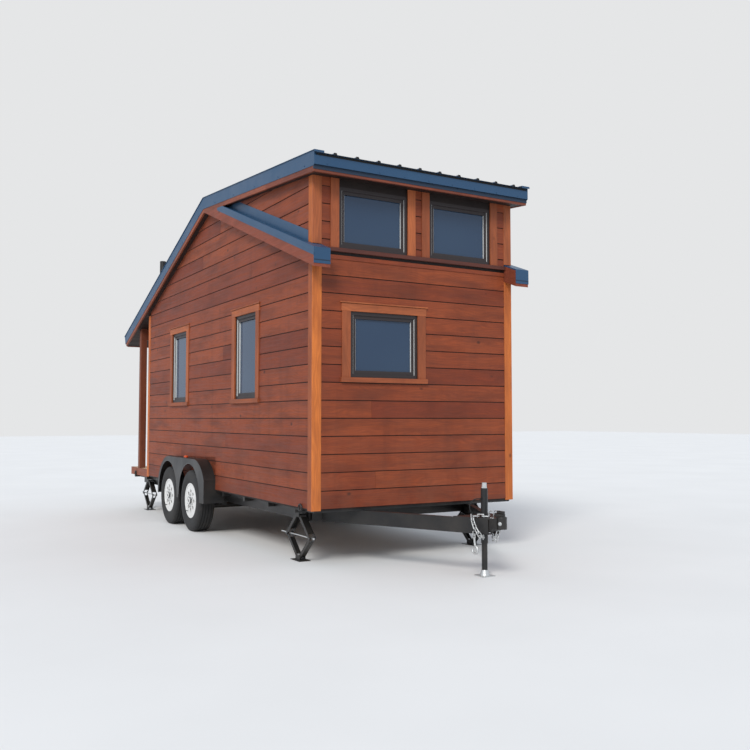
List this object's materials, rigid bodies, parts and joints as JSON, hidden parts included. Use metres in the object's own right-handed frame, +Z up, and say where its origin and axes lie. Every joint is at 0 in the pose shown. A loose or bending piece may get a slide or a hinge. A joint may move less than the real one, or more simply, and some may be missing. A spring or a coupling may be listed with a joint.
{
  "type": "tiny house on wheels",
  "caption": "Timber-clad tiny house on a road trailer with a blue steel roof, clerestory dormer, rear porch, folding stabiliser jacks, a tongue jack and turning wheels.",
  "frame": {"origin": "on the ground under the middle of the whole length and width", "axes": "+Z up, -Y along the tongue, +Y towards the porch, +X to the right of someone facing the front wall from the tongue"},
  "size_m": [2.586, 7.813, 4],
  "materials": {
    "siding": "stained cedar lap siding, satin",
    "floor_wood": "plywood floor, matte",
    "soffit_wood": "dark stained soffit boards, matte",
    "trim_wood": "stained cedar trim, satin",
    "deck_boards": "planed deck boards, matte",
    "roof_steel": "blue ribbed steel, satin",
    "window_metal": "dark bronze, satin",
    "glass": "clear sealed glazing",
    "black_steel": "black enamel, semi-gloss",
    "zinc": "zinc plated",
    "cable": "black cable jacket",
    "tyre": "black road tyre",
    "rim": "white enamel, gloss"
  },
  "bodies": {
    "house": {"left_wall": "siding", "right_wall": "siding", "front_wall": "siding", "rear_wall": "siding", "floor": "floor_wood", "dormer_roof": "soffit_wood", "rear_roof": "soffit_wood", "fascia_boards": "trim_wood", "pent_roofs": "trim_wood", "corner_boards": "trim_wood", "casings": "trim_wood", "porch_frame": "trim_wood", "door_frame": "trim_wood", "entry_door": "trim_wood", "porch_deck": "deck_boards", "roof_sheets": "roof_steel", "roof_trims": "roof_steel", "pent_flashings": "roof_steel", "window_frames": "window_metal", "window_glass": "glass", "chassis": "black_steel", "tongue_rails": "black_steel", "coupler": "black_steel", "axles": "black_steel", "fenders": "black_steel", "tongue_jack_tube": "black_steel", "jack_cable": "cable"},
    "tongue_jack_leg": {"tongue_jack_leg": "zinc"},
    "front_left_wheel": {"front_left_tyre": "tyre", "front_left_rim": "rim"},
    "rear_left_wheel": {"rear_left_tyre": "tyre", "rear_left_rim": "rim"},
    "front_right_wheel": {"front_right_tyre": "tyre", "front_right_rim": "rim"},
    "rear_right_wheel": {"rear_right_tyre": "tyre", "rear_right_rim": "rim"},
    "front_left_jack_front_upper_arm": {"front_left_jack_front_upper_arm": "black_steel"},
    "front_left_jack_rear_upper_arm": {"front_left_jack_rear_upper_arm": "black_steel"},
    "front_left_jack_front_lower_arm": {"front_left_jack_front_lower_arm": "black_steel"},
    "front_left_jack_rear_lower_arm": {"front_left_jack_rear_lower_arm": "black_steel"},
    "front_left_jack_foot": {"front_left_jack_foot": "black_steel"},
    "front_left_jack_screw": {"front_left_jack_screw": "zinc"},
    "rear_left_jack_front_upper_arm": {"rear_left_jack_front_upper_arm": "black_steel"},
    "rear_left_jack_rear_upper_arm": {"rear_left_jack_rear_upper_arm": "black_steel"},
    "rear_left_jack_front_lower_arm": {"rear_left_jack_front_lower_arm": "black_steel"},
    "rear_left_jack_rear_lower_arm": {"rear_left_jack_rear_lower_arm": "black_steel"},
    "rear_left_jack_foot": {"rear_left_jack_foot": "black_steel"},
    "rear_left_jack_screw": {"rear_left_jack_screw": "zinc"},
    "front_right_jack_front_upper_arm": {"front_right_jack_front_upper_arm": "black_steel"},
    "front_right_jack_rear_upper_arm": {"front_right_jack_rear_upper_arm": "black_steel"},
    "front_right_jack_front_lower_arm": {"front_right_jack_front_lower_arm": "black_steel"},
    "front_right_jack_rear_lower_arm": {"front_right_jack_rear_lower_arm": "black_steel"},
    "front_right_jack_foot": {"front_right_jack_foot": "black_steel"},
    "front_right_jack_screw": {"front_right_jack_screw": "zinc"},
    "rear_right_jack_front_upper_arm": {"rear_right_jack_front_upper_arm": "black_steel"},
    "rear_right_jack_rear_upper_arm": {"rear_right_jack_rear_upper_arm": "black_steel"},
    "rear_right_jack_front_lower_arm": {"rear_right_jack_front_lower_arm": "black_steel"},
    "rear_right_jack_rear_lower_arm": {"rear_right_jack_rear_lower_arm": "black_steel"},
    "rear_right_jack_foot": {"rear_right_jack_foot": "black_steel"},
    "rear_right_jack_screw": {"rear_right_jack_screw": "zinc"}
  },
  "joints": [
    {"name": "tongue_jack_slide", "type": "slide", "parent": "house", "child": "tongue_jack_leg", "axis": [0, 0, 1], "range_m": [0, 0.214]},
    {"name": "front_left_wheel_spin", "type": "hinge", "parent": "house", "child": "front_left_wheel", "pos_m": [-1.1775, 0.4835, 0.365], "axis": [1, 0, 0], "continuous": true},
    {"name": "rear_left_wheel_spin", "type": "hinge", "parent": "house", "child": "rear_left_wheel", "pos_m": [-1.1775, 1.3435, 0.365], "axis": [1, 0, 0], "continuous": true},
    {"name": "front_right_wheel_spin", "type": "hinge", "parent": "house", "child": "front_right_wheel", "pos_m": [1.1775, 0.4835, 0.365], "axis": [1, 0, 0], "continuous": true},
    {"name": "rear_right_wheel_spin", "type": "hinge", "parent": "house", "child": "rear_right_wheel", "pos_m": [1.1775, 1.3435, 0.365], "axis": [1, 0, 0], "continuous": true},
    {"name": "front_left_jack_fold", "type": "hinge", "parent": "house", "child": "front_left_jack_front_upper_arm", "pos_m": [-1.015, -2.1115, 0.431], "axis": [-1, 0, 0], "range_deg": [0, 29]},
    {"name": "front_left_jack_rear_upper", "type": "hinge", "parent": "house", "child": "front_left_jack_rear_upper_arm", "pos_m": [-1.015, -2.0515, 0.431], "axis": [1, 0, 0], "range_deg": [0, 29]},
    {"name": "front_left_jack_front_knee", "type": "hinge", "parent": "front_left_jack_front_upper_arm", "child": "front_left_jack_front_lower_arm", "pos_m": [-1.015, -2.3315, 0.2328], "axis": [1, 0, 0], "range_deg": [0, 58]},
    {"name": "front_left_jack_rear_knee", "type": "hinge", "parent": "front_left_jack_rear_upper_arm", "child": "front_left_jack_rear_lower_arm", "pos_m": [-1.015, -1.8315, 0.2328], "axis": [-1, 0, 0], "range_deg": [0, 58]},
    {"name": "front_left_jack_foot_pivot", "type": "hinge", "parent": "front_left_jack_front_lower_arm", "child": "front_left_jack_foot", "pos_m": [-1.015, -2.1115, 0.0346], "axis": [-1, 0, 0], "range_deg": [0, 29]},
    {"name": "front_left_jack_screw_pivot", "type": "hinge", "parent": "front_left_jack_front_upper_arm", "child": "front_left_jack_screw", "pos_m": [-1.015, -2.3315, 0.2328], "axis": [1, 0, 0], "range_deg": [0, 29]},
    {"name": "rear_left_jack_fold", "type": "hinge", "parent": "house", "child": "rear_left_jack_front_upper_arm", "pos_m": [-1.015, 3.1135, 0.431], "axis": [-1, 0, 0], "range_deg": [0, 29]},
    {"name": "rear_left_jack_rear_upper", "type": "hinge", "parent": "house", "child": "rear_left_jack_rear_upper_arm", "pos_m": [-1.015, 3.1735, 0.431], "axis": [1, 0, 0], "range_deg": [0, 29]},
    {"name": "rear_left_jack_front_knee", "type": "hinge", "parent": "rear_left_jack_front_upper_arm", "child": "rear_left_jack_front_lower_arm", "pos_m": [-1.015, 2.8935, 0.2328], "axis": [1, 0, 0], "range_deg": [0, 58]},
    {"name": "rear_left_jack_rear_knee", "type": "hinge", "parent": "rear_left_jack_rear_upper_arm", "child": "rear_left_jack_rear_lower_arm", "pos_m": [-1.015, 3.3935, 0.2328], "axis": [-1, 0, 0], "range_deg": [0, 58]},
    {"name": "rear_left_jack_foot_pivot", "type": "hinge", "parent": "rear_left_jack_front_lower_arm", "child": "rear_left_jack_foot", "pos_m": [-1.015, 3.1135, 0.0346], "axis": [-1, 0, 0], "range_deg": [0, 29]},
    {"name": "rear_left_jack_screw_pivot", "type": "hinge", "parent": "rear_left_jack_front_upper_arm", "child": "rear_left_jack_screw", "pos_m": [-1.015, 2.8935, 0.2328], "axis": [1, 0, 0], "range_deg": [0, 29]},
    {"name": "front_right_jack_fold", "type": "hinge", "parent": "house", "child": "front_right_jack_front_upper_arm", "pos_m": [1.015, -2.1115, 0.431], "axis": [-1, 0, 0], "range_deg": [0, 29]},
    {"name": "front_right_jack_rear_upper", "type": "hinge", "parent": "house", "child": "front_right_jack_rear_upper_arm", "pos_m": [1.015, -2.0515, 0.431], "axis": [1, 0, 0], "range_deg": [0, 29]},
    {"name": "front_right_jack_front_knee", "type": "hinge", "parent": "front_right_jack_front_upper_arm", "child": "front_right_jack_front_lower_arm", "pos_m": [1.015, -2.3315, 0.2328], "axis": [1, 0, 0], "range_deg": [0, 58]},
    {"name": "front_right_jack_rear_knee", "type": "hinge", "parent": "front_right_jack_rear_upper_arm", "child": "front_right_jack_rear_lower_arm", "pos_m": [1.015, -1.8315, 0.2328], "axis": [-1, 0, 0], "range_deg": [0, 58]},
    {"name": "front_right_jack_foot_pivot", "type": "hinge", "parent": "front_right_jack_front_lower_arm", "child": "front_right_jack_foot", "pos_m": [1.015, -2.1115, 0.0346], "axis": [-1, 0, 0], "range_deg": [0, 29]},
    {"name": "front_right_jack_screw_pivot", "type": "hinge", "parent": "front_right_jack_front_upper_arm", "child": "front_right_jack_screw", "pos_m": [1.015, -2.3315, 0.2328], "axis": [1, 0, 0], "range_deg": [0, 29]},
    {"name": "rear_right_jack_fold", "type": "hinge", "parent": "house", "child": "rear_right_jack_front_upper_arm", "pos_m": [1.015, 3.1135, 0.431], "axis": [-1, 0, 0], "range_deg": [0, 29]},
    {"name": "rear_right_jack_rear_upper", "type": "hinge", "parent": "house", "child": "rear_right_jack_rear_upper_arm", "pos_m": [1.015, 3.1735, 0.431], "axis": [1, 0, 0], "range_deg": [0, 29]},
    {"name": "rear_right_jack_front_knee", "type": "hinge", "parent": "rear_right_jack_front_upper_arm", "child": "rear_right_jack_front_lower_arm", "pos_m": [1.015, 2.8935, 0.2328], "axis": [1, 0, 0], "range_deg": [0, 58]},
    {"name": "rear_right_jack_rear_knee", "type": "hinge", "parent": "rear_right_jack_rear_upper_arm", "child": "rear_right_jack_rear_lower_arm", "pos_m": [1.015, 3.3935, 0.2328], "axis": [-1, 0, 0], "range_deg": [0, 58]},
    {"name": "rear_right_jack_foot_pivot", "type": "hinge", "parent": "rear_right_jack_front_lower_arm", "child": "rear_right_jack_foot", "pos_m": [1.015, 3.1135, 0.0346], "axis": [-1, 0, 0], "range_deg": [0, 29]},
    {"name": "rear_right_jack_screw_pivot", "type": "hinge", "parent": "rear_right_jack_front_upper_arm", "child": "rear_right_jack_screw", "pos_m": [1.015, 2.8935, 0.2328], "axis": [1, 0, 0], "range_deg": [0, 29]}
  ],
  "couplings": [
    {"joint": "front_left_jack_rear_upper", "follows": "front_left_jack_fold", "ratio": 1},
    {"joint": "front_left_jack_front_knee", "follows": "front_left_jack_fold", "ratio": 2},
    {"joint": "front_left_jack_rear_knee", "follows": "front_left_jack_fold", "ratio": 2},
    {"joint": "front_left_jack_foot_pivot", "follows": "front_left_jack_fold", "ratio": 1},
    {"joint": "front_left_jack_screw_pivot", "follows": "front_left_jack_fold", "ratio": 1},
    {"joint": "rear_left_jack_rear_upper", "follows": "rear_left_jack_fold", "ratio": 1},
    {"joint": "rear_left_jack_front_knee", "follows": "rear_left_jack_fold", "ratio": 2},
    {"joint": "rear_left_jack_rear_knee", "follows": "rear_left_jack_fold", "ratio": 2},
    {"joint": "rear_left_jack_foot_pivot", "follows": "rear_left_jack_fold", "ratio": 1},
    {"joint": "rear_left_jack_screw_pivot", "follows": "rear_left_jack_fold", "ratio": 1},
    {"joint": "front_right_jack_rear_upper", "follows": "front_right_jack_fold", "ratio": 1},
    {"joint": "front_right_jack_front_knee", "follows": "front_right_jack_fold", "ratio": 2},
    {"joint": "front_right_jack_rear_knee", "follows": "front_right_jack_fold", "ratio": 2},
    {"joint": "front_right_jack_foot_pivot", "follows": "front_right_jack_fold", "ratio": 1},
    {"joint": "front_right_jack_screw_pivot", "follows": "front_right_jack_fold", "ratio": 1},
    {"joint": "rear_right_jack_rear_upper", "follows": "rear_right_jack_fold", "ratio": 1},
    {"joint": "rear_right_jack_front_knee", "follows": "rear_right_jack_fold", "ratio": 2},
    {"joint": "rear_right_jack_rear_knee", "follows": "rear_right_jack_fold", "ratio": 2},
    {"joint": "rear_right_jack_foot_pivot", "follows": "rear_right_jack_fold", "ratio": 1},
    {"joint": "rear_right_jack_screw_pivot", "follows": "rear_right_jack_fold", "ratio": 1}
  ]
}
